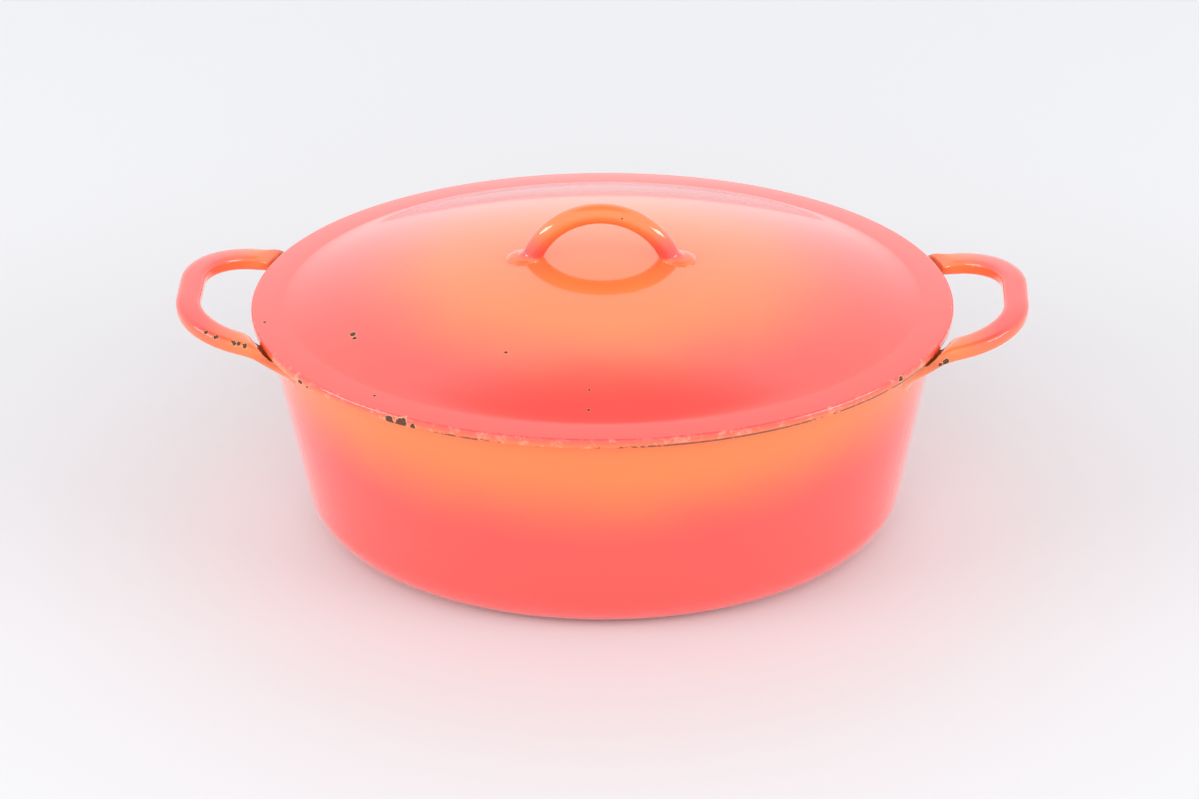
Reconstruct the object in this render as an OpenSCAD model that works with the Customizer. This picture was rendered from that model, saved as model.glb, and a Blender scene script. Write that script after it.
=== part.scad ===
// Enamelled cast iron dutch oven, oval, with a domed lid that lifts off.
// Millimetres, +Z up. The origin is the middle of the foot ring, on the surface that the pot stands on.
// X runs along the length of the oval, through both loop handles.

/* [Pot] */
// Outside length of the pot at its rim, over the enamel
pot_len = 286; // [240:1:350]
// Outside width of the pot at its rim, over the enamel
pot_wid = 222; // [180:1:270]
// Height of the rim above the surface that the pot stands on
pot_height = 101.2; // [80:0.1:130]
// Angle of the side wall off the vertical
wall_taper = 10.3; // [4:0.1:13]
// Outside radius where the wall turns into the base
base_corner_r = 23.6; // [16:0.1:28]
// Thickness of the iron wall
wall = 4; // [3:0.1:6]
// Thickness of the iron base inside the foot ring
base = 4.5; // [3:0.1:7]
// How far the base is raised inside the foot ring
foot_recess = 1.2; // [0.8:0.1:1.6]
// Width of the foot ring
foot_wid = 7; // [5:0.1:10]

/* [Enamel] */
// Thickness of every enamel coat
enamel = 0.6; // [0.4:0.1:1]

/* [Lid] */
// How far the lid stands out past the rim of the pot
lid_overhang = 5.5; // [3:0.1:8]
// Height of the lid's outer edge
lid_edge = 4.2; // [3.4:0.1:5]
// Width of the flat band round the dome, at the ends of the oval
band_wid = 15.2; // [9:0.1:18]
// Slope of the band
band_slope = 3; // [2:0.5:6]
// Rise of the dome's crown above the inner edge of the band
dome_rise = 20.2; // [14:0.1:28]
// Thickness of the iron in the dome
lid_wall = 4.2; // [3.4:0.1:5]
// Depth of the locating ring under the lid
ring_depth = 5; // [3:0.1:7]
// Thickness of the locating ring
ring_wall = 3; // [2:0.1:4]
// Space between the locating ring and the lining of the pot, at the rim
ring_clearance = 2; // [1.8:0.1:3]
// Space between the rim of the pot and the underside of the lid
seat_gap = 0.3; // [0.3:0.05:0.6]

/* [Side handles] */
// Reach of each loop handle past the rim of the pot
handle_reach = 36.6; // [30:0.1:46]
// Width of the handle's bar
handle_bar_wid = 10.6; // [8:0.1:13]
// Thickness of the handle's bar
handle_bar_thick = 7; // [5:0.1:9]
// Radius of the loop's two outer corners, on the middle of the bar
handle_corner_r = 29; // [20:0.5:31]
// Length of the straight grip between those corners
handle_grip = 16; // [10:0.2:28]
// Angle by which the two legs spread towards the pot
handle_splay = 12; // [4:0.5:16]
// Angle by which the loop rises away from the pot
handle_tilt = 10; // [4:0.5:14]
// Height of the middle of the bar above the rim, where it passes the edge of the lid
handle_lift = 1; // [0:0.1:1.6]
// Space between the edge of the lid and the notch that it drops into on each leg
notch_gap = 1; // [0.5:0.1:2]
// Length of the stretch over which each leg spreads and deepens into the wall
root_len = 12; // [8:0.5:16]
// Extra depth under each leg where it meets the wall
gusset_depth = 6.5; // [2:0.5:10]
// Extra width on each side of a leg where it meets the wall
root_flare = 3; // [0:0.5:5]

/* [Lid handle] */
// Radius of the arch, on the middle of its bar
arch_r = 30.6; // [24:0.1:34]
// Radius of the arch's round bar
arch_bar_r = 4.35; // [3.5:0.05:5]
// Height of the top of the arch above the crown of the dome
arch_height = 24.5; // [20:0.5:30]
// Radius of the low round pad at each foot of the arch
pad_r = 6.6; // [5:0.1:9]
// Distance from the middle of a foot out to the middle of its pad
pad_out = 3.5; // [0:0.1:5]
// Height of the middle of a pad above the dome
pad_thick = 1.6; // [0.8:0.1:3]

/* [Hidden] */
$fn = 144;

coat_gap = 0.02; // space left between a coat and the iron that it covers
over = 1; // how far a cutting shape runs past the face that it cuts
arc_steps = 10; // straight steps in each drawn quarter arc
dome_steps = 16; // straight steps along the dome's profile
edge_r = 1.5; // rounding on the lid's outer edge
edge_steps = 4; // straight steps round that edge
bar_sides = 48; // sides drawn round the arch's bar
pad_sides = 72; // sides drawn round each pad

pot_a = pot_len / 2; // half length and half width of the rim
pot_b = pot_wid / 2;
lid_a = pot_a + lid_overhang;
lid_b = pot_b + lid_overhang;
lid_z = pot_height + seat_gap; // the plane of the lid's underside
floor_z = foot_recess + base; // top of the iron base, inside the pot

// Half length of the flat under the base, where the corner's arc starts
foot_a = pot_a - tan(wall_taper) * (pot_height - base_corner_r) - base_corner_r / cos(wall_taper);
foot_edge = 1.2; // how far the foot ring stands out past that flat
crown_z = lid_z + lid_edge + band_wid * tan(band_slope) + dome_rise;

iron = "dimgray";
flame = "orangered";
cream = "cornsilk";

// Where the inner side of a leg passes under the lid's edge
leg_x0 = pot_a + handle_reach - handle_bar_wid / 2 - handle_corner_r;
leg_y = handle_grip / 2 + handle_corner_r * cos(handle_splay) - handle_bar_wid / 2 - root_flare;
lid_edge_x = lid_a * sqrt(1 - pow(leg_y / lid_b, 2));
handle_z = pot_height + handle_lift;
root_share = 0.88; // share of the pot's half length at which each leg has its hidden end
root_x = root_share * pot_a;
gusset_end = 1 / 3; // share of root_len, past the lid's edge, at which the gusset has run out
leg_steps = 14; // rings along a leg
corner_steps = 12; // rings round a corner of the loop
ring_points = 20; // corners of each ring
bar_square = 0.62; // 1 draws the bar's section as an ellipse, and 0 as a rectangle

// A solid oval, in four quarters: the profile is drawn in its length and squeezed to its width.
module oval(half_len, half_wid) {
    for (turn = [0:90:270])
        scale([1, half_wid / half_len, 1])
            rotate(turn)
                rotate_extrude(angle = 90)
                    children();
}

module oval_ring(half_len, half_wid, thick, z0, z1) {
    difference() {
        oval(half_len, half_wid)
            translate([0, z0])
                square([half_len, z1 - z0]);
        oval(half_len - thick, half_wid - thick)
            translate([0, z0 - over])
                square([half_len - thick, z1 - z0 + 2 * over]);
    }
}

// Side of the pot: a tapered wall that turns into a flat base round a corner of radius r.
function vessel_profile(half_len, top_z, bottom_z, r) =
    let (
        zc = bottom_z + r,
        xc = half_len - tan(wall_taper) * (pot_height - zc) - r / cos(wall_taper),
        sweep = 90 - wall_taper
    )
    concat(
        [[0, bottom_z]],
        [for (i = [0:arc_steps]) let (t = -90 + sweep * i / arc_steps) [xc + r * cos(t), zc + r * sin(t)]],
        [[half_len + tan(wall_taper) * (top_z - pot_height), top_z], [0, top_z]]
    );

// The pot's shape, taken in by inset from its outside face.
module vessel(inset, bottom_z, top_z) {
    half_len = pot_a - inset / cos(wall_taper);
    half_wid = pot_b - inset / cos(wall_taper);
    oval(half_len, half_wid)
        polygon(vessel_profile(half_len, top_z, bottom_z, base_corner_r - inset));
}

module pot_casting() {
    color(iron)
        difference() {
            union() {
                vessel(enamel, enamel, pot_height);
                oval_ring(foot_a + foot_edge, foot_b(), foot_wid, 0, foot_recess + over);
            }
            vessel(enamel + wall, floor_z, pot_height + over);
            oval(foot_a + foot_edge - foot_wid, foot_b() - foot_wid)
                translate([0, -over])
                    square([foot_a + foot_edge - foot_wid, foot_recess + over]);
        }
}

// Half width of the foot ring, which follows the base's corner at the sides as at the ends
function foot_b() = (foot_a + foot_edge) * pot_b / pot_a;

module pot_outer_enamel() {
    color(flame)
        difference() {
            vessel(0, 0, pot_height);
            vessel(enamel - coat_gap, enamel - coat_gap, pot_height + over);
            oval(foot_a + foot_edge, foot_b())
                translate([0, -over])
                    square([foot_a + foot_edge, enamel + 2 * over]);
        }
}

module pot_lining() {
    color(cream)
        difference() {
            vessel(enamel + wall + coat_gap, floor_z + coat_gap, pot_height);
            vessel(2 * enamel + wall, floor_z + enamel, pot_height + over);
        }
}

// Smooth step from 0 to 1 as t goes from 0 to 1
function ease(t) = let (u = max(0, min(1, t))) u * u * (3 - 2 * u);

// The middle of one leg and half the grip, in plan, from the root inside the wall to the middle of the grip
function half_loop() =
    let (
        turn = 90 - handle_splay,
        y0 = handle_grip / 2,
        leg_end = [leg_x0 + handle_corner_r * cos(turn), y0 + handle_corner_r * sin(turn)],
        run = leg_end.x - root_x
    )
    concat(
        [for (i = [0:leg_steps - 1]) let (d = run * (1 - i / leg_steps))
            leg_end + [-d, d * tan(handle_splay)]],
        [for (i = [0:corner_steps]) let (t = turn * (1 - i / corner_steps))
            [leg_x0 + handle_corner_r * cos(t), y0 + handle_corner_r * sin(t)]],
        [[leg_x0 + handle_corner_r, 0]]
    );

// The loop's whole path, on a plane that rises away from the pot
function loop_path() =
    let (
        half = half_loop(),
        last = len(half) - 1,
        plan = concat(half, [for (i = [1:last]) [half[last - i].x, -half[last - i].y]])
    )
    [for (p = plan) [p.x, p.y, handle_z + tan(handle_tilt) * (p.x - lid_edge_x)]];

// One ring of the bar: a soft-cornered oblong, wider at the root, with a gusset below it nearer the wall
function bar_ring(p, along) =
    let (
        side = [along.y, -along.x, 0] / norm([along.x, along.y]),
        up = cross(side, along),
        out = (p.x - lid_edge_x) / root_len,
        half_wid = handle_bar_wid / 2 + root_flare * ease(1 - out),
        low = handle_bar_thick / 2 + gusset_depth * ease(gusset_end - out),
        high = handle_bar_thick / 2
    )
    [for (i = [0:ring_points - 1]) let (
        t = 360 * i / ring_points,
        u = sign(cos(t)) * pow(abs(cos(t)), bar_square),
        v = sign(sin(t)) * pow(abs(sin(t)), bar_square)
    )
        p + side * half_wid * u + up * (v > 0 ? high : low) * v];

// A closed bar through the rings that follow the path
module side_loop(side) {
    path = loop_path();
    last = len(path) - 1;
    along = [for (i = [0:last])
        let (d = path[min(i + 1, last)] - path[max(i - 1, 0)]) d / norm(d)];
    points = [for (i = [0:last]) each bar_ring(path[i], along[i])];
    faces = concat(
        [[for (k = [0:ring_points - 1]) k]],
        [for (i = [0:last - 1], k = [0:ring_points - 1]) let (
            next = (k + 1) % ring_points,
            here = i * ring_points,
            there = here + ring_points
        )
            [here + k, there + k, there + next, here + next]],
        [[for (k = [ring_points - 1:-1:0]) last * ring_points + k]]
    );
    mirror([side < 0 ? 1 : 0, 0, 0])
        polyhedron(points, faces, convexity = 4);
}

// A loop cut off at the pot's outside face, and notched where the edge of the lid drops past it
module cast_loop(side) {
    notch_a = lid_a + notch_gap;
    notch_b = lid_b + notch_gap;
    difference() {
        side_loop(side);
        vessel(-coat_gap, 0, pot_height + over);
        oval(notch_a, notch_b)
            translate([0, pot_height])
                square([notch_a, 3 * handle_bar_thick]);
    }
}

module left_handle() {
    color(flame)
        cast_loop(-1);
}

module right_handle() {
    color(flame)
        cast_loop(1);
}

// Height of the dome's top above the lid's underside, at the distance x from its middle along the length
function dome_top(x, half_len) =
    let (
        a = half_len - band_wid,
        r = (a * a + dome_rise * dome_rise) / 2 / dome_rise
    )
    lid_edge + band_wid * tan(band_slope) + dome_rise - r + sqrt(r * r - x * x);

// Top of the lid: round edge, sloping band, then the dome; drop lowers the whole top.
function lid_profile(half_len, drop, bottom) =
    concat(
        [[0, bottom], [half_len, bottom]],
        [for (i = [0:edge_steps]) let (t = 90 * i / edge_steps)
            [half_len - edge_r + edge_r * cos(t), lid_edge - drop - edge_r + edge_r * sin(t)]],
        [for (i = [0:dome_steps]) let (x = (half_len - band_wid) * (1 - i / dome_steps))
            [x, dome_top(x, half_len) - drop]]
    );

module lid_solid(inset, drop, bottom) {
    translate([0, 0, lid_z])
        oval(lid_a - inset, lid_b - inset)
            polygon(lid_profile(lid_a - inset, drop, bottom));
}

ring_a = pot_a - 2 * enamel - wall - ring_clearance;
ring_b = pot_b - 2 * enamel - wall - ring_clearance;

// The hollow under the dome, a wall's thickness below its top, inside the locating ring
module lid_hollow(drop, inset) {
    half_len = ring_a - ring_wall - inset;
    half_wid = ring_b - ring_wall - inset;
    translate([0, 0, lid_z])
        oval(half_len, half_wid)
            polygon(concat(
                [[0, -over], [half_len, -over]],
                [for (i = [0:dome_steps]) let (x = half_len * (1 - i / dome_steps))
                    [x, dome_top(x, lid_a) - drop]]
            ));
}

module lid_casting() {
    color(iron)
        difference() {
            lid_solid(enamel, enamel, 0);
            lid_hollow(enamel + lid_wall, 0);
        }
}

module lid_outer_enamel() {
    color(flame)
        difference() {
            lid_solid(0, 0, 0);
            lid_solid(enamel - coat_gap, enamel - coat_gap, -over);
            arch(coat_gap);
        }
}

module lid_lining() {
    color(cream)
        intersection() {
            difference() {
                lid_hollow(enamel + lid_wall + coat_gap, coat_gap);
                lid_hollow(2 * enamel + lid_wall, enamel);
            }
            translate([-lid_a, -lid_b, lid_z])
                cube([2 * lid_a, 2 * lid_b, 2 * dome_rise]);
        }
}

module lid_locating_ring() {
    color(cream)
        oval_ring(ring_a, ring_b, ring_wall, lid_z - ring_depth, lid_z);
}

// The arch over the crown, with a low round pad at each foot; grow swells the pads
module arch(grow = 0) {
    arch_z = crown_z + arch_height - arch_bar_r - arch_r;
    foot_z = lid_z + dome_top(arch_r, lid_a);
    pad_x = sqrt(arch_r * arch_r - pow(foot_z - arch_z, 2)) + pad_out;
    translate([0, 0, arch_z])
        rotate([90, 0, 0])
            rotate_extrude(angle = 180)
                translate([arch_r, 0])
                    circle(arch_bar_r, $fn = bar_sides);
    for (s = [-1, 1])
        translate([s * pad_x, 0, lid_z + dome_top(pad_x, lid_a)])
            foot_pad(pad_r + grow);
}

// A button with a rounded top, whose straight sides reach down into the dome
module foot_pad(radius) {
    rotate_extrude($fn = pad_sides) {
        translate([0, -lid_wall])
            square([radius, lid_wall]);
        intersection() {
            square([radius, pad_thick]);
            scale([radius / pad_thick, 1])
                circle(pad_thick, $fn = pad_sides);
        }
    }
}

module lid_handle() {
    color(flame)
        difference() {
            arch();
            lid_solid(enamel - coat_gap, enamel - coat_gap, -3 * over);
        }
}

pot_casting();
pot_outer_enamel();
pot_lining();
left_handle();
right_handle();
lid_casting();
lid_outer_enamel();
lid_lining();
lid_locating_ring();
lid_handle();
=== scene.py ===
import math

import bmesh
import bpy
from mathutils import Matrix, Vector


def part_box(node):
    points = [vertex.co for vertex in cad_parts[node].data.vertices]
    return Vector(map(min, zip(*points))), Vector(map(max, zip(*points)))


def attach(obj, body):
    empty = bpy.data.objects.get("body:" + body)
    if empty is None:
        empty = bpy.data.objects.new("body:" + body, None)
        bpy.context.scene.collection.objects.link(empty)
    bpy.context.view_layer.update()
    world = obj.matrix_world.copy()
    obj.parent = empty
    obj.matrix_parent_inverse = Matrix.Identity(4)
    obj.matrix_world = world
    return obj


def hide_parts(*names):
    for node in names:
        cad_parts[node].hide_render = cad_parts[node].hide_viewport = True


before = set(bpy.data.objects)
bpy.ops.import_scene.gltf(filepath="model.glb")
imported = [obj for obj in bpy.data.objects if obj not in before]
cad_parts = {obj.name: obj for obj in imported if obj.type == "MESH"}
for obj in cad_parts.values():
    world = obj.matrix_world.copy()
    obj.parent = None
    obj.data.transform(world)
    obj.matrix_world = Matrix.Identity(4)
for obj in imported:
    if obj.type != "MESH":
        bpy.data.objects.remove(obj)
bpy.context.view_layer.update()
MM = 0.001

# ---------------------------------------------------------------------------
# Camera. A long lens from two metres away, raised about thirty degrees and
# a little to the right of the oven's middle.
# ---------------------------------------------------------------------------
camera_distance = 2.0
camera_elevation = math.radians(30.3)
camera_azimuth = math.radians(2.4)
camera_roll = math.radians(-0.8)
camera_target = Vector((-1.6, 0.0, 56.6)) * MM
camera = bpy.data.objects.new("camera", bpy.data.cameras.new("camera"))
camera.data.sensor_fit = "HORIZONTAL"
camera.data.sensor_width = 36.0
camera.data.lens = 140.3
camera_back = Vector((
    math.sin(camera_azimuth) * math.cos(camera_elevation),
    -math.cos(camera_azimuth) * math.cos(camera_elevation),
    math.sin(camera_elevation),
))
camera_turn = (-camera_back).to_track_quat("-Z", "Y").to_matrix().to_4x4()
camera.matrix_world = (
    Matrix.Translation(camera_target + camera_back * camera_distance)
    @ camera_turn
    @ Matrix.Rotation(camera_roll, 4, "Z")
)
bpy.context.scene.collection.objects.link(camera)
bpy.context.scene.camera = camera

# ---------------------------------------------------------------------------
# Studio. A white table top with bright walls of soft light round it, a dark
# ceiling right overhead, two oblong soft boxes that draw the highlights on the
# glossy enamel, and a large low one in front that lifts the shadows.
# ---------------------------------------------------------------------------
scene = bpy.context.scene
scene.view_settings.view_transform = "Standard"
scene.view_settings.look = "None"


def linear(colour):
    """An sRGB hex colour such as "f04e37" as linear RGBA."""
    parts = [int(colour[i:i + 2], 16) / 255 for i in (0, 2, 4)]
    return [c / 12.92 if c <= 0.04045 else ((c + 0.055) / 1.055) ** 2.4 for c in parts] + [1.0]


def add(tree, kind, links=None, **settings):
    """Adds a node, sets its properties and unlinked sockets, and links the rest.

    links maps a socket's name or index to the output, or the plain value, that it gets."""
    node = tree.nodes.new(kind)
    for name, value in settings.items():
        setattr(node, name, value)
    for socket, source in (links or {}).items():
        if isinstance(source, bpy.types.NodeSocket):
            tree.links.new(source, node.inputs[socket])
        else:
            node.inputs[socket].default_value = source
    return node


def new_material(name):
    material = bpy.data.materials.new(name)
    material.use_nodes = True
    material.node_tree.nodes.clear()
    return material, material.node_tree


table_size = 9.0
bm = bmesh.new()
bmesh.ops.create_grid(bm, x_segments=1, y_segments=1, size=table_size / 2)
table_mesh = bpy.data.meshes.new("table_top")
bm.to_mesh(table_mesh)
bm.free()
table_top = bpy.data.objects.new("table_top", table_mesh)
scene.collection.objects.link(table_top)
# Matt near-white paper. It gives the eye a soft shadow and a faint red glow, with hardly any reflection.
table_paper, tree = new_material("white studio paper")
shader = add(tree, "ShaderNodeBsdfPrincipled", {
    "Base Color": linear("d6d7da"), "Roughness": 0.6, "Specular IOR Level": 0.25,
})
add(tree, "ShaderNodeOutputMaterial", {"Surface": shader.outputs[0]})
table_mesh.materials.append(table_paper)

walls_end = 0.82  # sine of the height above the horizon at which the bright walls begin to darken
ceiling_start = 0.94
world = bpy.data.worlds.new("studio walls")
world.use_nodes = True
world.node_tree.nodes.clear()
scene.world = world
tree = world.node_tree
direction = add(tree, "ShaderNodeTexCoord")
height = add(tree, "ShaderNodeSeparateXYZ", {0: direction.outputs["Generated"]})
walls = add(tree, "ShaderNodeValToRGB", {0: height.outputs["Z"]})
walls.color_ramp.interpolation = "EASE"
walls.color_ramp.elements[0].position = walls_end
walls.color_ramp.elements[0].color = (1.0, 1.0, 1.0, 1.0)
walls.color_ramp.elements[1].position = ceiling_start
walls.color_ramp.elements[1].color = (0.15, 0.15, 0.16, 1.0)
light = add(tree, "ShaderNodeBackground", {"Color": walls.outputs[0], "Strength": 1.3})
add(tree, "ShaderNodeOutputWorld", {"Surface": light.outputs[0]})


def soft_box(name, place, width, tall, power):
    """An oblong lamp at place that faces the oven."""
    lamp = bpy.data.objects.new(name, bpy.data.lights.new(name, "AREA"))
    lamp.data.shape = "RECTANGLE"
    lamp.data.size = width
    lamp.data.size_y = tall
    lamp.data.energy = power
    lamp.location = place
    lamp.rotation_mode = "QUATERNION"
    lamp.rotation_quaternion = (-Vector(place)).to_track_quat("-Z", "Y")
    scene.collection.objects.link(lamp)
    return lamp


soft_box("left_soft_box", (-2.0, -0.8, 1.0), width=1.3, tall=0.4, power=16.0)
soft_box("right_soft_box", (2.0, -0.8, 1.0), width=1.3, tall=0.4, power=16.0)
front_fill = soft_box("front_fill", (0.0, -3.2, 1.2), width=3.4, tall=2.2, power=34.0)
front_fill.visible_glossy = False

# ---------------------------------------------------------------------------
# Pot casting. The iron vessel, sand cast in one piece; it shows only on the
# rim, where the lid sits, and on the foot ring and the recessed base.
# ---------------------------------------------------------------------------
enamel = 0.6 * MM
wall_taper = math.radians(10.3)
corner_r = 23.6 * MM
iron_wall = 4.0 * MM
iron_base = 4.5 * MM
foot_recess = 1.2 * MM
foot_wid = 7.0 * MM
foot_edge = 1.2 * MM  # how far the foot ring stands out past the flat of the base
rim_round = 0.9 * MM
turn_steps = 192

pot_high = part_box("pot_outer_enamel")[1]
pot_a, pot_b, rim_z = pot_high.x, pot_high.y, pot_high.z
wall_tan = math.tan(wall_taper)
foot_a = pot_a - wall_tan * (rim_z - corner_r) - corner_r / math.cos(wall_taper) + foot_edge


def arc(centre, radius, start, end, steps):
    """Points of an arc in the profile's plane, from angle start to end, in degrees."""
    angles = [math.radians(start + (end - start) * i / steps) for i in range(steps + 1)]
    return [(centre[0] + radius * math.cos(a), centre[1] + radius * math.sin(a)) for a in angles]


def vessel_side(inset, floor_z, top_z, steps=20):
    """The pot's side, inset from its outside face: round the corner of the base and up the wall."""
    half_len = pot_a - inset / math.cos(wall_taper)
    radius = corner_r - inset
    centre_z = floor_z + radius
    centre_x = half_len - wall_tan * (rim_z - centre_z) - radius / math.cos(wall_taper)
    corner = arc((centre_x, centre_z), radius, -90, -math.degrees(wall_taper), steps)
    foot = corner[-1]
    top = (half_len + wall_tan * (top_z - rim_z), top_z)
    wall_rows = 14
    wall_line = [
        (foot[0] + (top[0] - foot[0]) * i / wall_rows, foot[1] + (top[1] - foot[1]) * i / wall_rows)
        for i in range(1, wall_rows + 1)
    ]
    return corner + wall_line


merge_gap = 0.001 * MM


def turned_oval(name, profile, half_len, half_wid, closed, material):
    """Spins a profile into a solid, then squeezes it across to the oval's width."""
    shape = bmesh.new()
    verts = [shape.verts.new((x, 0.0, z)) for x, z in profile]
    for first, second in zip(verts, verts[1:]):
        shape.edges.new((first, second))
    if closed:
        shape.edges.new((verts[-1], verts[0]))
    bmesh.ops.spin(
        shape, geom=shape.verts[:] + shape.edges[:], cent=(0, 0, 0), axis=(0, 0, 1),
        angle=math.tau, steps=turn_steps, use_merge=True,
    )
    bmesh.ops.remove_doubles(shape, verts=shape.verts, dist=merge_gap)
    bmesh.ops.scale(shape, verts=shape.verts, vec=(1.0, half_wid / half_len, 1.0))
    return finished(name, shape, material)


def finished(name, shape, material, sharp=35.0):
    """Turns a shape's faces outwards, shades it smooth with its real edges kept, and names it."""
    bmesh.ops.recalc_face_normals(shape, faces=shape.faces)
    for face in shape.faces:
        face.smooth = True
    mesh = bpy.data.meshes.new(name)
    shape.to_mesh(mesh)
    shape.free()
    mesh.set_sharp_from_angle(angle=math.radians(sharp))
    mesh.materials.append(material)
    piece = bpy.data.objects.new(name, mesh)
    scene.collection.objects.link(piece)
    return piece


def ground_coat():
    """Matt black ground coat over sand-cast iron: dark, slightly rough, worn brown in patches."""
    material, tree = new_material("matt ground coat on sand-cast iron")
    place = add(tree, "ShaderNodeTexCoord").outputs["Object"]
    sand = add(tree, "ShaderNodeTexNoise", {
        "Vector": place, "Scale": 1 / (0.9 * MM), "Detail": 5.0, "Roughness": 0.6,
    })
    patches = add(tree, "ShaderNodeTexNoise", {
        "Vector": place, "Scale": 1 / (9.0 * MM), "Detail": 4.0, "Roughness": 0.6,
    })
    colour = add(tree, "ShaderNodeValToRGB", {0: patches.outputs[0]})
    colour.color_ramp.elements[0].position = 0.38
    colour.color_ramp.elements[0].color = linear("1e1a18")
    colour.color_ramp.elements[1].position = 0.72
    colour.color_ramp.elements[1].color = linear("4a3226")
    rough = add(tree, "ShaderNodeMapRange", {0: sand.outputs[0], 3: 0.42, 4: 0.72})
    bump = add(tree, "ShaderNodeBump", {
        "Height": sand.outputs[0], "Distance": 0.12 * MM, "Strength": 0.6,
    })
    shader = add(tree, "ShaderNodeBsdfPrincipled", {
        "Base Color": colour.outputs[0], "Roughness": rough.outputs[0], "IOR": 1.5,
        "Normal": bump.outputs[0],
    })
    add(tree, "ShaderNodeOutputMaterial", {"Surface": shader.outputs[0]})
    return material


seat_coat = ground_coat()
foot_in = foot_a - foot_wid
corner_from = 2 * MM  # height the corner is drawn from; a straight line joins it to the foot ring
slant = 1.02  # about the level width of the sloping wall, as a share of its thickness
recess_break = 0.5 * MM  # the small cuts that take the sharpness off the foot ring's corners
inner_break = 0.4 * MM
outer_break = 0.3 * MM
casting_outside = [p for p in vessel_side(enamel, enamel, rim_z - rim_round) if p[1] > corner_from]
casting_top = arc(
    (pot_a - enamel * slant - rim_round, rim_z - rim_round), rim_round, 0, 90, 5
)
casting_top += arc(
    (pot_a - (iron_wall + enamel) * slant + rim_round, rim_z - rim_round), rim_round, 90, 180, 5
)
casting_inside = vessel_side(enamel + iron_wall, foot_recess + iron_base, rim_z - rim_round)[::-1]
casting_profile = (
    [(0.0, foot_recess), (foot_in - recess_break, foot_recess), (foot_in, foot_recess - inner_break)]
    + [(foot_in + inner_break, 0.0), (foot_a - outer_break, 0.0), (foot_a, outer_break)]
    + [(foot_a, enamel)]
    + casting_outside + casting_top + casting_inside
    + [(0.0, foot_recess + iron_base)]
)
pot_casting = turned_oval("pot_iron", casting_profile, pot_a, pot_b, False, seat_coat)
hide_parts("pot_casting")
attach(pot_casting, "pot")

# ---------------------------------------------------------------------------
# Outer enamel of the pot. Vitreous enamel sprayed on and fired: orange under
# the rim, fading into red down the wall, with a deep gloss over a slightly
# uneven surface.
# ---------------------------------------------------------------------------
flame_orange = "ff763d"
flame_red = "f54c45"


def enamel_surface(tree, place, colour, wear=None):
    """Glossy fired enamel. Soft waves and a fine orange peel bend the highlights under a clear gloss.

    wear is 1 where the coat has come off, which leaves a dull pit there."""
    waves = add(tree, "ShaderNodeTexNoise", {
        "Vector": place, "Scale": 1 / (28.0 * MM), "Detail": 2.0, "Roughness": 0.4,
    })
    peel = add(tree, "ShaderNodeTexNoise", {
        "Vector": place, "Scale": 1 / (3.2 * MM), "Detail": 2.0, "Roughness": 0.5,
    })
    smudges = add(tree, "ShaderNodeTexNoise", {
        "Vector": place, "Scale": 1 / (35.0 * MM), "Detail": 4.0, "Roughness": 0.6,
    })
    swell = add(tree, "ShaderNodeBump", {
        "Height": waves.outputs[0], "Distance": 0.5 * MM, "Strength": 0.16,
    })
    skin = add(tree, "ShaderNodeBump", {
        "Height": peel.outputs[0], "Distance": 0.03 * MM, "Strength": 0.2, "Normal": swell.outputs[0],
    })
    rough = add(tree, "ShaderNodeMapRange", {0: smudges.outputs[0], 1: 0.3, 2: 0.7, 3: 0.10, 4: 0.2})
    normal, gloss, clear = skin.outputs[0], rough.outputs[0], 1.0
    if wear is not None:
        pit = add(tree, "ShaderNodeBump", {
            "Height": wear, "Distance": 0.4 * MM, "Strength": 1.0, "Normal": normal,
        }, invert=True)
        dull = add(tree, "ShaderNodeMix", {0: wear, 2: gloss, 3: 0.75})
        normal, gloss = pit.outputs[0], dull.outputs[0]
        unworn = add(tree, "ShaderNodeMath", {0: 1.0, 1: wear}, operation="SUBTRACT", use_clamp=True)
        clear = unworn.outputs[0]
    return add(tree, "ShaderNodeBsdfPrincipled", {
        "Base Color": colour, "Roughness": gloss, "IOR": 1.5, "Specular IOR Level": 0.25,
        "Normal": normal, "Coat Weight": clear, "Coat IOR": 1.5, "Coat Roughness": 0.05,
        "Coat Normal": normal,
    })


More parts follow.
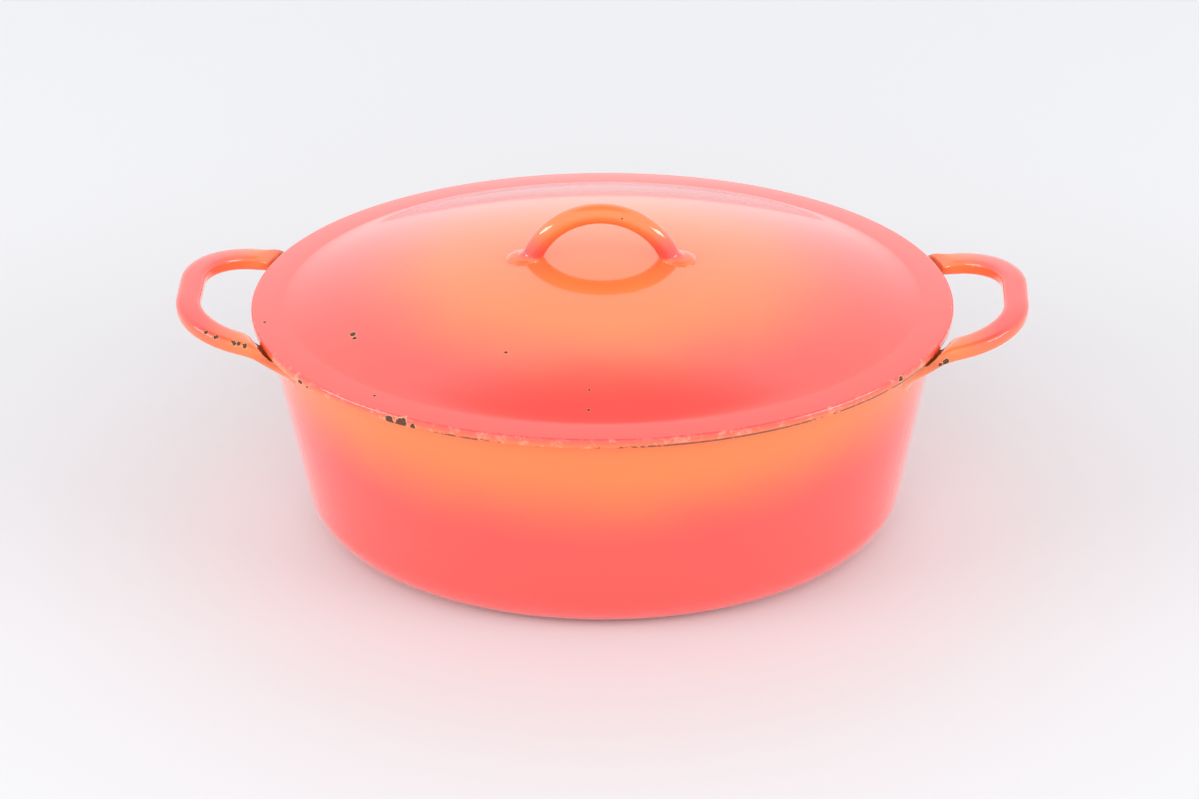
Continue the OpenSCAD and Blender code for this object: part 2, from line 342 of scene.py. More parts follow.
def pot_flame():
    """Sprayed flame enamel: the eye sees orange glow under the rim, and red that climbs at the ends."""
    orange_from = 88 * MM
    red_from = 44 * MM
    end_climb = 20 * MM
    material, tree = new_material("flame vitreous enamel, sprayed in a fade")
    place = add(tree, "ShaderNodeTexCoord").outputs["Object"]
    axes = add(tree, "ShaderNodeSeparateXYZ", {0: place})
    cloud = add(tree, "ShaderNodeTexNoise", {
        "Vector": place, "Scale": 1 / (45.0 * MM), "Detail": 2.0, "Roughness": 0.5,
    })
    drift = add(tree, "ShaderNodeMapRange", {0: cloud.outputs[0], 3: -6 * MM, 4: 6 * MM})
    level = add(tree, "ShaderNodeMath", {
        0: axes.outputs["Z"], 1: drift.outputs[0],
    }, operation="ADD").outputs[0]
    along = add(tree, "ShaderNodeMath", {0: axes.outputs["X"], 1: pot_a}, operation="DIVIDE").outputs[0]
    out_along = add(tree, "ShaderNodeMath", {0: along, 1: 2.0}, operation="POWER").outputs[0]
    climb = add(tree, "ShaderNodeMath", {0: out_along, 1: end_climb}, operation="MULTIPLY").outputs[0]
    level = add(tree, "ShaderNodeMath", {0: level, 1: climb}, operation="SUBTRACT").outputs[0]
    fade = add(tree, "ShaderNodeMapRange", {
        0: level, 1: orange_from, 2: red_from, 3: 0.0, 4: 1.0,
    }, interpolation_type="SMOOTHSTEP")
    colour = add(tree, "ShaderNodeMix", {
        0: fade.outputs[0], 6: linear(flame_orange), 7: linear(flame_red),
    }, data_type="RGBA").outputs[2]
    shader = enamel_surface(tree, place, colour)
    add(tree, "ShaderNodeOutputMaterial", {"Surface": shader.outputs[0]})
    return material


side_top = rim_z - 1.2 * MM  # the coat's straight side ends here, and a rounded lip closes it
lip_r = 1.0 * MM
lip_z = rim_z - 1.25 * MM
pot_enamel_out = [p for p in vessel_side(0.0, 0.0, side_top, 28) if p[0] > foot_a]
enamel_lip = arc((pot_a - lip_r, lip_z), lip_r, 0, 80, 5)
enamel_back = [p for p in vessel_side(enamel, enamel, side_top, 28) if p[0] > foot_a]
pot_enamel = turned_oval(
    "pot_flame_enamel", pot_enamel_out[:-1] + enamel_lip + enamel_back[::-1],
    pot_a, pot_b, True, pot_flame(),
)
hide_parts("pot_outer_enamel")
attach(pot_enamel, "pot")

# ---------------------------------------------------------------------------
# Lining of the pot. Cream enamel fused to the iron from just under the rim
# down to the base, clouded and browned over the bottom by long use.
# ---------------------------------------------------------------------------
cream = "efe4c8"
cream_stain = "b9976a"


def cream_coat(name, stain_low, stain_high):
    """Cream enamel with a soft gloss; its stains grow from the height stain_high down to stain_low."""
    material, tree = new_material(name)
    place = add(tree, "ShaderNodeTexCoord").outputs["Object"]
    axes = add(tree, "ShaderNodeSeparateXYZ", {0: place})
    cloud = add(tree, "ShaderNodeTexNoise", {
        "Vector": place, "Scale": 1 / (22.0 * MM), "Detail": 5.0, "Roughness": 0.62,
    })
    specks = add(tree, "ShaderNodeTexNoise", {
        "Vector": place, "Scale": 1 / (2.4 * MM), "Detail": 3.0, "Roughness": 0.6,
    })
    depth = add(tree, "ShaderNodeMapRange", {
        0: axes.outputs["Z"], 1: stain_high, 2: stain_low, 3: 0.0, 4: 0.5,
    })
    stained = add(tree, "ShaderNodeMath", {
        0: depth.outputs[0], 1: cloud.outputs[0],
    }, operation="MULTIPLY").outputs[0]
    dots = add(tree, "ShaderNodeMapRange", {0: specks.outputs[0], 1: 0.66, 2: 0.72, 3: 0.0, 4: 0.35})
    amount = add(tree, "ShaderNodeMath", {
        0: stained, 1: dots.outputs[0],
    }, operation="ADD", use_clamp=True).outputs[0]
    colour = add(tree, "ShaderNodeMix", {
        0: amount, 6: linear(cream), 7: linear(cream_stain),
    }, data_type="RGBA").outputs[2]
    shader = enamel_surface(tree, place, colour)
    add(tree, "ShaderNodeOutputMaterial", {"Surface": shader.outputs[0]})
    return material


inner_inset = 2 * enamel + iron_wall
inner_floor = foot_recess + iron_base + enamel
lining_top = rim_z - 2.0 * MM
lining_in = vessel_side(inner_inset, inner_floor, lining_top, 24)
lining_out = vessel_side(enamel + iron_wall, foot_recess + iron_base, lining_top, 24)
pot_lining = turned_oval(
    "pot_cream_lining",
    [(0.0, inner_floor)] + lining_in + lining_out[::-1] + [(0.0, foot_recess + iron_base)],
    pot_a, pot_b, False, cream_coat("cream lining enamel, stained by cooking", 2 * MM, 60 * MM),
)
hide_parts("pot_lining")
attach(pot_lining, "pot")

# ---------------------------------------------------------------------------
# Side handles. Flat-topped loops cast in one with the pot, then enamelled:
# red along the grip and orange where the spray thinned on the legs. Each leg
# dips under the edge of the lid and spreads into the wall.
# ---------------------------------------------------------------------------
bar_wid = 10.6 * MM
bar_thick = 7.0 * MM
handle_corner_r = 29.0 * MM
half_grip = 8.0 * MM
splay = math.radians(12)
rise = math.tan(math.radians(10))
root_flare = 3.0 * MM
gusset_depth = 6.0 * MM
lid_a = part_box("lid_outer_enamel")[1].x
lid_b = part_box("lid_outer_enamel")[1].y
handle_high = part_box("right_handle")[1]
corner_x = handle_high.x - bar_wid / 2 - handle_corner_r
leg_end = Vector((
    corner_x + handle_corner_r * math.sin(splay), half_grip + handle_corner_r * math.cos(splay)
))
lid_cross_x = 140.4 * MM  # where the legs pass under the lid's edge
cross_z = rim_z + 1.0 * MM  # height of the bar's middle there


def ease(t):
    """A smooth step from 0 to 1 as t goes from 0 to 1."""
    t = max(0.0, min(1.0, t))
    return t * t * (3 - 2 * t)


def wall_x(y, z):
    """Where the pot's outside face lies along X, at the given Y and Z."""
    half_len = pot_a - wall_tan * (rim_z - z)
    half_wid = half_len * pot_b / pot_a
    return half_len * math.sqrt(max(0.0, 1 - (y / half_wid) ** 2))


def bar_path():
    """Middle of the right handle's bar in plan, each point with its distance out from the wall."""
    meets_below = 3 * MM  # the leg's middle meets the wall this far below cross_z
    past_root = 10 * MM  # added past the legs, where nothing of the root's shape is left
    wall = leg_end.copy()
    for _ in range(8):  # each round brings the end of the leg nearer to the wall
        away = leg_end.x - wall_x(wall.y, cross_z - meets_below)
        wall = leg_end + Vector((-away, away * math.tan(splay)))
    run = leg_end.x - wall.x
    outs = [-1.5, 0.0, 0.4, 0.9, 1.6, 2.5, 3.7, 5.0, 6.5, 8.0, 9.5, 11.0, 12.5, 14.5, 17.0, 19.5]
    half = []
    for out in (v * MM for v in outs):
        away = run - out
        half.append((leg_end.x - away, leg_end.y + away * math.tan(splay), out))
    turn = math.pi / 2 - splay
    steps = 26
    for i in range(steps + 1):
        t = turn * (1 - i / steps)
        x = corner_x + handle_corner_r * math.cos(t)
        y = half_grip + handle_corner_r * math.sin(t)
        half.append((x, y, run + past_root))
    grip = [(corner_x + handle_corner_r, half_grip * v, run + past_root) for v in (0.5, 0.0)]
    half += grip
    return half + [(x, -y, out) for x, y, out in half[-2::-1]]


def soft_min(a, b, width):
    """The smaller of two lengths, rounded over width where they meet."""
    blend = max(0.0, width - abs(a - b)) / width
    return min(a, b) - blend * blend * width / 4


def loop_ring(point, along, out, segments):
    """One ring of the bar: soft-cornered, filleted into the wall and kept clear of the lid above it."""
    flare_reach = 14 * MM
    gusset_reach = 10.5 * MM
    hug_reach = 12 * MM
    soft_power = 0.6
    edge_share = 0.97  # about the lid's radius where the legs pass, as a share of its half length
    rim_room = 0.4 * MM
    step_start = 0.6 * MM
    step_slope = 1.5
    step_soft = 1.2 * MM
    fillet_r = 3.0 * MM
    side = Vector((along.y, -along.x, 0)).normalized()
    up = side.cross(along)
    near = ease(1 - out / flare_reach)
    gap = max(0.0, fillet_r - max(0.0, out))
    fillet = fillet_r - math.sqrt(fillet_r ** 2 - gap ** 2)
    half_wid = bar_wid / 2 + root_flare * near + fillet
    low = bar_thick / 2 + gusset_depth * ease(1 - out / gusset_reach) + fillet
    ring = []
    for i in range(segments):
        t = math.tau * i / segments
        u = math.copysign(abs(math.cos(t)) ** soft_power, math.cos(t))
        v = math.copysign(abs(math.sin(t)) ** soft_power, math.sin(t))
        place = point + side * half_wid * u + up * (bar_thick / 2 if v > 0 else low) * v
        hug = ease(1 - out / hug_reach)
        place.x += hug * (wall_x(place.y, min(place.z, rim_z)) + out - place.x)
        past_lid = (math.hypot(place.x / lid_a, place.y / lid_b) - 1) * lid_a * edge_share
        ceiling = rim_z - rim_room + max(0.0, past_lid - step_start) * step_slope
        place.z = soft_min(place.z, ceiling, step_soft)
        ring.append(place)
    return ring


def swept(name, rings, material, mirror=False):
    """Joins rings of points into one closed bar; mirror turns it over to the pot's other end."""
    shape = bmesh.new()
    last = None
    ends = []
    for ring in rings:
        made = bmesh.ops.create_circle(shape, cap_ends=False, segments=len(ring), radius=1.0)["verts"]
        for vert, place in zip(made, ring):
            vert.co = Vector((-place.x, place.y, place.z)) if mirror else place
        edges = list({edge for vert in made for edge in vert.link_edges})
        if last is not None:
            bmesh.ops.bridge_loops(shape, edges=last + edges)
        last = edges
        ends.append(edges)
    for edges in (ends[0], ends[-1]):
        bmesh.ops.holes_fill(shape, edges=edges, sides=len(rings[0]))
    return finished(name, shape, material, 60.0)


def chips(tree, place, spots, ragged_mm=2.2):
    """How deep a worn spot goes, 0 outside and 1 in its middle; each spot is x, y, z and radius in mm."""
    ripple_share = 0.45  # how far the ragged noise moves a spot's edge, as a share of its depth
    ragged = add(tree, "ShaderNodeTexNoise", {
        "Vector": place, "Scale": 1 / (ragged_mm * MM), "Detail": 4.0, "Roughness": 0.65,
    })
    ripple = add(tree, "ShaderNodeMapRange", {0: ragged.outputs[0], 1: 0.25, 2: 0.75, 3: -1.0, 4: 1.0})
    deepest = None
    for x, y, z, radius in spots:
        reach = add(tree, "ShaderNodeVectorMath", {0: place, 1: (x * MM, y * MM, z * MM)},
                    operation="DISTANCE")
        inside = add(tree, "ShaderNodeMapRange", {
            0: reach.outputs["Value"], 1: radius * MM, 2: 0.0,
        }, clamp=False)
        depth = add(tree, "ShaderNodeMath", {
            0: ripple.outputs[0], 1: ripple_share, 2: inside.outputs[0],
        }, operation="MULTIPLY_ADD").outputs[0]
        if deepest is not None:
            depth = add(tree, "ShaderNodeMath", {0: deepest, 1: depth}, operation="MAXIMUM").outputs[0]
        deepest = depth
    depth = add(tree, "ShaderNodeMath", {
        0: deepest, 1: 1.0,
    }, operation="MULTIPLY", use_clamp=True).outputs[0]
    return depth


chip_iron = "5c3c2e"
chip_edge = "d99a72"


def chipped(tree, colour, depth):
    """The colour with a pale line round each broken spot and brown iron inside, and how bare it is."""
    broken = add(tree, "ShaderNodeMapRange", {0: depth, 1: 0.02, 2: 0.10})
    bare = add(tree, "ShaderNodeMapRange", {0: depth, 1: 0.16, 2: 0.30})
    edged = add(tree, "ShaderNodeMix", {
        0: broken.outputs[0], 6: colour, 7: linear(chip_edge),
    }, data_type="RGBA").outputs[2]
    worn = add(tree, "ShaderNodeMix", {
        0: bare.outputs[0], 6: edged, 7: linear(chip_iron),
    }, data_type="RGBA").outputs[2]
    return worn, bare.outputs[0]


def handle_flame(name, spots):
    """Flame enamel over cast iron: to the eye red on the grip and orange on the legs. Faces turned up are
    painted redder than the sides as painted shade, and under the lid's edge the legs get a painted brown
    shadow and reflection of that edge."""
    orange_to = 146 * MM
    red_from = 166 * MM
    # painted brown shadow and reflection of the lid's edge, laid on the legs where they pass under the lid
    lid_shadow_brown = "8f4a26"
    material, tree = new_material(name)
    place = add(tree, "ShaderNodeTexCoord").outputs["Object"]
    axes = add(tree, "ShaderNodeSeparateXYZ", {0: place})
    reach = add(tree, "ShaderNodeMath", {0: axes.outputs["X"]}, operation="ABSOLUTE").outputs[0]
    facing = add(tree, "ShaderNodeSeparateXYZ", {0: add(tree, "ShaderNodeNewGeometry").outputs["Normal"]})
    along = add(tree, "ShaderNodeMapRange", {0: reach, 1: orange_to, 2: red_from})
    # painted shade: faces turned up get more red than the sides, so the tops read darker and the sides
    # paler orange
    above = add(tree, "ShaderNodeMapRange", {0: facing.outputs["Z"], 1: -0.2, 2: 0.8, 3: 0.35, 4: 1.0})
    amount = add(tree, "ShaderNodeMath", {
        0: along.outputs[0], 1: above.outputs[0],
    }, operation="MULTIPLY").outputs[0]
    cloud = add(tree, "ShaderNodeTexNoise", {
        "Vector": place, "Scale": 1 / (7.0 * MM), "Detail": 4.0, "Roughness": 0.6,
    })
    # painted shadow and reflection of the lid's edge on the legs: grows from 148 mm to 140 mm out and
    # towards the rim, broken up by a cloud
    lid_shadow_amount = add(tree, "ShaderNodeMapRange", {0: reach, 1: 148 * MM, 2: 140 * MM})
    under_lid = add(tree, "ShaderNodeMapRange", {
        0: axes.outputs["Z"], 1: rim_z - 6 * MM, 2: rim_z - 1 * MM,
    })
    lid_shadow_amount = add(tree, "ShaderNodeMath", {
        0: lid_shadow_amount.outputs[0], 1: under_lid.outputs[0],
    }, operation="MULTIPLY").outputs[0]
    lid_shadow_amount = add(tree, "ShaderNodeMath", {0: lid_shadow_amount, 1: cloud.outputs[0]}, operation="MULTIPLY").outputs[0]
    colour = add(tree, "ShaderNodeMix", {
        0: amount, 6: linear(flame_orange), 7: linear(flame_red),
    }, data_type="RGBA").outputs[2]
    colour = add(tree, "ShaderNodeMix", {
        0: lid_shadow_amount, 6: colour, 7: linear(lid_shadow_brown),
    }, data_type="RGBA").outputs[2]
    worn = chips(tree, place, spots, 1.6)
    colour, bare = chipped(tree, colour, worn)
    shader = enamel_surface(tree, place, colour, bare)
    add(tree, "ShaderNodeOutputMaterial", {"Surface": shader.outputs[0]})
    return material


loop_plan = bar_path()
loop_points = [Vector((x, y, cross_z + rise * (x - lid_cross_x))) for x, y, out in loop_plan]
loop_rings = []
for i, point in enumerate(loop_points):
    before = loop_points[max(i - 1, 0)]
    after = loop_points[min(i + 1, len(loop_points) - 1)]
    loop_rings.append(loop_ring(point, (after - before).normalized(), loop_plan[i][2], 32))
left_spots = [
    (-164.0, -35.8, 108.6, 1.1), (-159.5, -38.4, 107.7, 1.2), (-151.8, -40.8, 106.4, 1.4),
    (-150.0, -41.1, 106.3, 1.0), (-147.3, -41.7, 105.6, 1.3), (-162.0, 27.2, 107.4, 1.1),
]
right_spots = [
    (144.0, -43.7, 101.6, 1.7), (141.5, -44.6, 100.6, 1.1), (168.6, 6.0, 105.0, 0.9),
]
left_flame = handle_flame("flame enamel on the left loop", left_spots)
right_flame = handle_flame("flame enamel on the right loop", right_spots)
left_handle = swept("left_loop_handle", loop_rings, left_flame, mirror=True)
right_handle = swept("right_loop_handle", loop_rings, right_flame)
for piece, node in ((left_handle, "left_handle"), (right_handle, "right_handle")):
    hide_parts(node)
    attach(piece, "pot")

# ---------------------------------------------------------------------------
# Lid casting. The iron lid; its underside shows between the locating ring
# and the edge, in the same matt ground coat as the rim that it rests on.
# ---------------------------------------------------------------------------
lid_edge_height = 4.2 * MM
lid_edge_r = 1.5 * MM
band_wid = 15.2 * MM
band_slope = math.radians(3)
dome_rise = 20.2 * MM
lid_wall = 4.2 * MM
ring_clearance = 2.0 * MM
ring_wall = 3.0 * MM
lid_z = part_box("lid_casting")[0].z
ring_a = pot_a - 2 * enamel - iron_wall - ring_clearance
ring_b = pot_b - 2 * enamel - iron_wall - ring_clearance
dome_a = lid_a - band_wid
dome_r = (dome_a ** 2 + dome_rise ** 2) / 2 / dome_rise
dome_foot_z = lid_z + lid_edge_height + band_wid * math.tan(band_slope)


def dome_z(x, drop=0.0):
    """Height of the dome's top at the distance x from its middle, along the length."""
    return dome_foot_z + dome_rise - dome_r + math.sqrt(dome_r ** 2 - x ** 2) - drop


def dome_line(reach, drop):
    """The dome's profile from its middle out to reach."""
    steps = 40
    return [(reach * i / steps, dome_z(reach * i / steps, drop)) for i in range(steps + 1)]


def lid_top_line(inset, drop):
    """From the crown, over the dome, round the soft crease at its foot, along the band to the edge."""
    inner_crease = 9.0 * MM
    outer_crease = 1.6 * MM
    crease_steps = 12
    line = dome_line(dome_a - inner_crease, drop)
    start = Vector(line[-1])
    knee = Vector((dome_a, dome_z(dome_a, drop)))
    end = knee + Vector((outer_crease, -outer_crease * math.tan(band_slope)))
    for i in range(1, crease_steps + 1):
        t = i / crease_steps
        point = start * (1 - t) ** 2 + knee * 2 * t * (1 - t) + end * t ** 2
        line.append((point.x, point.y))
    top = lid_z + lid_edge_height - drop
    edge = lid_a - inset
    return line + arc((edge - lid_edge_r, top - lid_edge_r), lid_edge_r, 84, 0, 6)


hollow_a = ring_a - ring_wall
under_line = dome_line(hollow_a, enamel + lid_wall)
iron_line = lid_top_line(enamel, enamel)
iron_edge = lid_a - enamel
iron_break = 0.6 * MM
lid_iron = turned_oval(
    "lid_iron",
    iron_line + [(iron_edge, lid_z + iron_break), (iron_edge - iron_break, lid_z)]
    + [(hollow_a, lid_z)] + under_line[::-1],
    lid_a, lid_b, False, seat_coat,
)
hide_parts("lid_casting")
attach(lid_iron, "lid")

# ---------------------------------------------------------------------------
# Outer enamel of the lid. One glossy coat over dome, band and edge: orange
# at the crown, fading to red round the foot of the dome and along the band,
# with the glass chipped off the rim in places and worn pale along it by rubbing,
# with a painted highlight in that pale band; the lip is brown where the coat
# flakes, and on the right also painted shade of the seam under it.
# ---------------------------------------------------------------------------


def on_lid(x, y, radius):
    """A spot on the lid's top at x and y, in mm."""
    out = math.hypot(x * MM, y * MM * lid_a / lid_b)
    z = dome_z(out) if out < dome_a else dome_foot_z - (out - dome_a) * math.tan(band_slope)
    return (x, y, z / MM, radius)


def lid_flame():
    """Sprayed flame enamel: the eye goes from an orange crown to the red round it. The lip where the coat
    flakes brown, with painted shade of the seam along its right side, the pale rubs with a painted
    highlight in them, and the chips read as an old lid."""
    orange_to = 0.38  # as shares of the way from the middle to the edge
    red_from = 0.8
    # pale of enamel worn by rubbing along the rim, which also serves as a painted highlight there
    rub_and_highlight_colour = "ffc9ae"
    # brown where the lip's coat flakes, and on the right also painted shade of the seam between lid and
    # pot
    flake_and_seam_shade_colour = "54392c"
    material, tree = new_material("flame vitreous enamel, chipped along the rim")
    place = add(tree, "ShaderNodeTexCoord").outputs["Object"]
    squashed = add(tree, "ShaderNodeVectorMath", {0: place, 1: (1 / lid_a, 1 / lid_b, 0)},
                   operation="MULTIPLY")
    length = add(tree, "ShaderNodeVectorMath", {0: squashed.outputs[0]}, operation="LENGTH")
    out = length.outputs["Value"]
    cloud = add(tree, "ShaderNodeTexNoise", {
        "Vector": place, "Scale": 1 / (50.0 * MM), "Detail": 2.0, "Roughness": 0.5,
    })
    drift = add(tree, "ShaderNodeMapRange", {0: cloud.outputs[0], 3: -0.08, 4: 0.08})
    level = add(tree, "ShaderNodeMath", {0: out, 1: drift.outputs[0]}, operation="ADD").outputs[0]
    fade = add(tree, "ShaderNodeMapRange", {
        0: level, 1: orange_to, 2: red_from,
    }, interpolation_type="SMOOTHSTEP")
    colour = add(tree, "ShaderNodeMix", {
        0: fade.outputs[0], 6: linear(flame_orange), 7: linear(flame_red),
    }, data_type="RGBA").outputs[2]
    axes = add(tree, "ShaderNodeSeparateXYZ", {0: place})
    low_edge = add(tree, "ShaderNodeMapRange", {
        0: axes.outputs["Z"], 1: lid_z + 3.6 * MM, 2: lid_z + 1.2 * MM,
    })
    thin_edge = add(tree, "ShaderNodeMath", {
        0: low_edge.outputs[0], 1: 0.8,
    }, operation="MULTIPLY").outputs[0]
    colour = add(tree, "ShaderNodeMix", {
        0: thin_edge, 6: colour, 7: linear(flame_orange),
    }, data_type="RGBA").outputs[2]
    # pale along the rim's outermost edge: rubbing wear with a painted highlight in it
    rub_and_highlight_noise = add(tree, "ShaderNodeTexNoise", {
        "Vector": place, "Scale": 1 / (5.0 * MM), "Detail": 6.0, "Roughness": 0.75,
    })
    rub_and_highlight = add(tree, "ShaderNodeMapRange", {0: rub_and_highlight_noise.outputs[0], 1: 0.52, 2: 0.72, 3: 0.0, 4: 0.4})
    at_rim = add(tree, "ShaderNodeMapRange", {0: out, 1: 0.988, 2: 0.994})
    pale = add(tree, "ShaderNodeMath", {
        0: rub_and_highlight.outputs[0], 1: at_rim.outputs[0],
    }, operation="MULTIPLY").outputs[0]
    colour = add(tree, "ShaderNodeMix", {
        0: pale, 6: colour, 7: linear(rub_and_highlight_colour),
    }, data_type="RGBA").outputs[2]
    flake_and_seam_noise = add(tree, "ShaderNodeTexNoise", {
        "Vector": place, "Scale": 1 / (2.6 * MM), "Detail": 6.0, "Roughness": 0.75,
    })
    runs = add(tree, "ShaderNodeTexNoise", {
        "Vector": place, "Scale": 1 / (45.0 * MM), "Detail": 3.0, "Roughness": 0.6,
    })
    # painted shade: more brown towards the right, standing for the dark seam between lid and pot there
    right_seam_shade = add(tree, "ShaderNodeMapRange", {
        0: axes.outputs["X"], 1: -60 * MM, 2: 60 * MM, 3: 0.0, 4: 0.1,
    })
    flaking_and_seam_shade = add(tree, "ShaderNodeMath", {
        0: flake_and_seam_noise.outputs[0], 1: runs.outputs[0],
    }, operation="ADD").outputs[0]
    flaking_and_seam_shade = add(tree, "ShaderNodeMath", {
        0: flaking_and_seam_shade, 1: right_seam_shade.outputs[0],
    }, operation="ADD").outputs[0]
    flaked_and_seam_shade = add(tree, "ShaderNodeMapRange", {0: flaking_and_seam_shade, 1: 0.98, 2: 1.06, 3: 0.0, 4: 0.9})
    at_lip = add(tree, "ShaderNodeMapRange", {
        0: axes.outputs["Z"], 1: lid_z + 1.5 * MM, 2: lid_z + 1.0 * MM,
    })
    brown = add(tree, "ShaderNodeMath", {
        0: flaked_and_seam_shade.outputs[0], 1: at_lip.outputs[0],
    }, operation="MULTIPLY").outputs[0]
    colour = add(tree, "ShaderNodeMix", {
        0: brown, 6: colour, 7: linear(flake_and_seam_shade_colour),
    }, data_type="RGBA").outputs[2]
    spots = [
        on_lid(-102, -42, 1.7), on_lid(-101, -45, 1.2), on_lid(-141, -22, 1.0), on_lid(-90, -83, 0.9),
        on_lid(-37, -66, 0.8), on_lid(-2, -88, 0.7), on_lid(-2, -98, 0.7), on_lid(58, -78, 0.5),
    ]
    rim = [
        (-78.0, -99.0, lid_z / MM + 1.4, 3.2), (-83.0, -96.6, lid_z / MM + 1.0, 2.4),
        (-73.0, -101.4, lid_z / MM + 0.8, 1.8), (-122.0, -66.2, lid_z / MM + 0.8, 1.7),
        (-119.0, -69.6, lid_z / MM + 0.5, 1.2), (125.0, -62.8, lid_z / MM + 2.6, 1.6),
    ]
    colour, bare = chipped(tree, colour, chips(tree, place, spots + rim))
    shader = enamel_surface(tree, place, colour, bare)
    add(tree, "ShaderNodeOutputMaterial", {"Surface": shader.outputs[0]})
    return material


lid_lip_r = 0.8 * MM
coat_end = 0.3 * MM  # height above the lid's underside at which the coat meets the iron
lid_lip = arc((lid_a - lid_lip_r, lid_z + lid_lip_r), lid_lip_r, 0, -80, 4)
lid_skin = turned_oval(
    "lid_flame_enamel",
    lid_top_line(0.0, 0.0) + lid_lip + [(iron_edge, lid_z + coat_end)] + iron_line[::-1],
    lid_a, lid_b, False, lid_flame(),
)
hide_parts("lid_outer_enamel")
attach(lid_skin, "lid")

# ---------------------------------------------------------------------------
# Lining of the lid and its locating ring. Cream enamel fused under the dome,
# and the cast ring, cream too, that drops inside the pot and centres the lid.
# ---------------------------------------------------------------------------
lid_cream = cream_coat("cream lid enamel, clouded by steam", lid_z - 5 * MM, lid_z + 30 * MM)
lining_gap = 0.1 * MM  # space left between the lining's edge and the locating ring
lining_line = dome_line(hollow_a - lining_gap, enamel + lid_wall)
lining_face = dome_line(hollow_a - lining_gap, 2 * enamel + lid_wall)
lid_lining = turned_oval(
    "lid_cream_lining", lining_face + lining_line[::-1], hollow_a, ring_b - ring_wall, False, lid_cream,
)
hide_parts("lid_lining")
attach(lid_lining, "lid")

ring_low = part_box("lid_locating_ring")[0].z
ring_round = 1.2 * MM
ring_profile = arc((ring_a - ring_round, ring_low + ring_round), ring_round, 0, -90, 5)
ring_profile += arc((hollow_a + ring_round, ring_low + ring_round), ring_round, -90, -180, 5)
ring_profile += [(hollow_a, lid_z), (ring_a, lid_z)]
locating_ring = turned_oval("lid_ring", ring_profile, ring_a, ring_b, True, lid_cream)
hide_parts("lid_locating_ring")
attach(locating_ring, "lid")

# ---------------------------------------------------------------------------
# Lid handle. A round bar cast as an arch over the crown, with a low round pad
# at each foot. Enamelled with the lid: orange on top and on the pads, and red
# between them at the feet.
# ---------------------------------------------------------------------------
arch_r = 30.6 * MM
arch_bar_r = 4.35 * MM
pad_r = 6.6 * MM
pad_out = 3.5 * MM
pad_thick = 1.6 * MM
arch_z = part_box("lid_handle")[1].z - arch_bar_r - arch_r
arch_foot_z = dome_z(arch_r)
lean = math.asin((arch_foot_z - arch_z) / arch_r)
pad_x = arch_r * math.cos(lean) + pad_out


def arch_flame():
    """Sprayed flame enamel: the eye sees an arch that is orange on top, over red feet and orange pads."""
    orange_from = arch_foot_z + 17 * MM
    red_from = arch_foot_z + 3 * MM
    spots = [(9.0, -4.2, arch_foot_z / MM + 21.0, 0.5), (-36.0, -5.0, 127.0, 0.6)]
    material, tree = new_material("flame enamel on the lid's arch")
    place = add(tree, "ShaderNodeTexCoord").outputs["Object"]
    axes = add(tree, "ShaderNodeSeparateXYZ", {0: place})
    cloud = add(tree, "ShaderNodeTexNoise", {
        "Vector": place, "Scale": 1 / (18.0 * MM), "Detail": 2.0, "Roughness": 0.5,
    })
    drift = add(tree, "ShaderNodeMapRange", {0: cloud.outputs[0], 3: -3 * MM, 4: 3 * MM})
    level = add(tree, "ShaderNodeMath", {
        0: axes.outputs["Z"], 1: drift.outputs[0],
    }, operation="ADD").outputs[0]
    fade = add(tree, "ShaderNodeMapRange", {
        0: level, 1: orange_from, 2: red_from,
    }, interpolation_type="SMOOTHSTEP")
    colour = add(tree, "ShaderNodeMix", {
        0: fade.outputs[0], 6: linear(flame_orange), 7: linear(flame_red),
    }, data_type="RGBA").outputs[2]
    on_pad = add(tree, "ShaderNodeMapRange", {
        0: axes.outputs["Z"], 1: arch_foot_z + 2.6 * MM, 2: arch_foot_z + 1.0 * MM, 3: 0.0, 4: 0.75,
    })
    colour = add(tree, "ShaderNodeMix", {
        0: on_pad.outputs[0], 6: colour, 7: linear(flame_orange),
    }, data_type="RGBA").outputs[2]
    worn = chips(tree, place, spots, 1.2)
    colour, bare = chipped(tree, colour, worn)
    shader = enamel_surface(tree, place, colour, bare)
    add(tree, "ShaderNodeOutputMaterial", {"Surface": shader.outputs[0]})
    return material


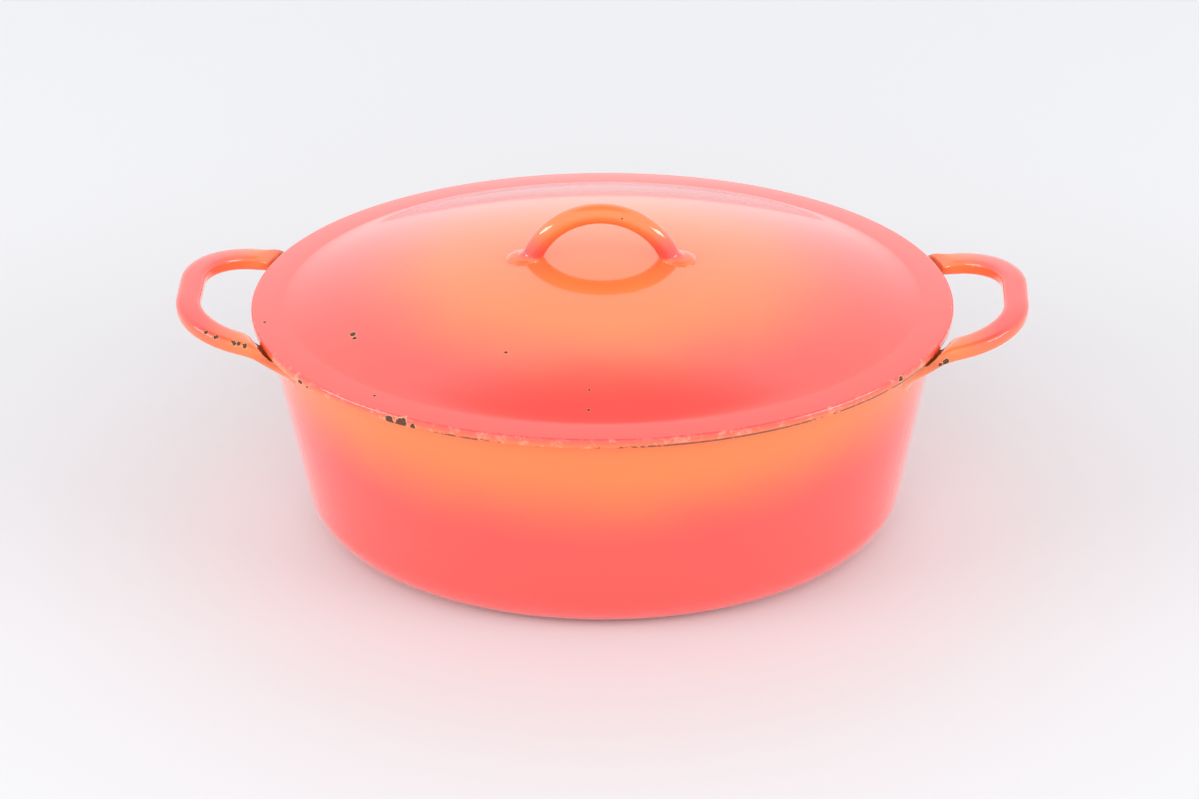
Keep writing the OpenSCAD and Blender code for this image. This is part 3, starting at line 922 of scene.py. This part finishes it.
def arch_ring(angle, radius):
    """A ring round the arch's bar at angle."""
    segments = 40
    across = Vector((math.cos(angle), 0.0, math.sin(angle)))
    middle = Vector((0.0, 0.0, arch_z)) + across * arch_r
    return [
        middle + across * radius * math.cos(math.tau * i / segments)
        + Vector((0.0, 1.0, 0.0)) * radius * math.sin(math.tau * i / segments)
        for i in range(segments)
    ]


def foot_swell(above):
    """How much the bar thickens where the enamel has run down and filled its foot."""
    fill_r = 2.2 * MM
    gap = max(0.0, fill_r - max(0.0, above))
    return fill_r - math.sqrt(fill_r ** 2 - gap ** 2)


def pad(shape, side):
    """A low button at one foot, whose edge tapers away over the dome."""
    rows = 10
    segments = 48
    # Each line is a radius, and a height over the dome as a share of the pad's thickness
    lines = [(pad_r * 1.12, -1.2), (pad_r * 1.12, -0.12), (pad_r * 1.04, 0.0)]
    lines += [
        (pad_r * math.cos(math.pi / 2 * i / rows), 0.08 + math.sin(math.pi / 2 * i / rows))
        for i in range(1, rows)
    ]
    last = None
    for radius, level in lines:
        z = dome_z(pad_x) + level * pad_thick
        made = bmesh.ops.create_circle(
            shape, cap_ends=False, segments=segments, radius=radius,
            matrix=Matrix.Translation((side * pad_x, 0.0, z)),
        )["verts"]
        edges = list({edge for vert in made for edge in vert.link_edges})
        if last is None:
            first = edges
        else:
            bmesh.ops.bridge_loops(shape, edges=last + edges)
        last = edges
    bmesh.ops.holes_fill(shape, edges=first, sides=segments)
    bmesh.ops.holes_fill(shape, edges=last, sides=segments)


bar_sunk = 4.0 * MM  # length of bar that is hidden in the dome at each foot
start_angle = lean - bar_sunk / arch_r
bar_steps = 80
arch_turn = math.pi - 2 * start_angle
arch_rings = []
for i in range(bar_steps + 1):
    angle = start_angle + arch_turn * i / bar_steps
    above = (min(angle, math.pi - angle) - lean) * arch_r
    arch_rings.append(arch_ring(angle, arch_bar_r + foot_swell(above)))
lid_handle = swept("lid_arch_handle", arch_rings, arch_flame())
shape = bmesh.new()
shape.from_mesh(lid_handle.data)
pad(shape, -1)
pad(shape, 1)
bmesh.ops.recalc_face_normals(shape, faces=shape.faces)
for face in shape.faces:
    face.smooth = True
shape.to_mesh(lid_handle.data)
shape.free()
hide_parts("lid_handle")
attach(lid_handle, "lid")
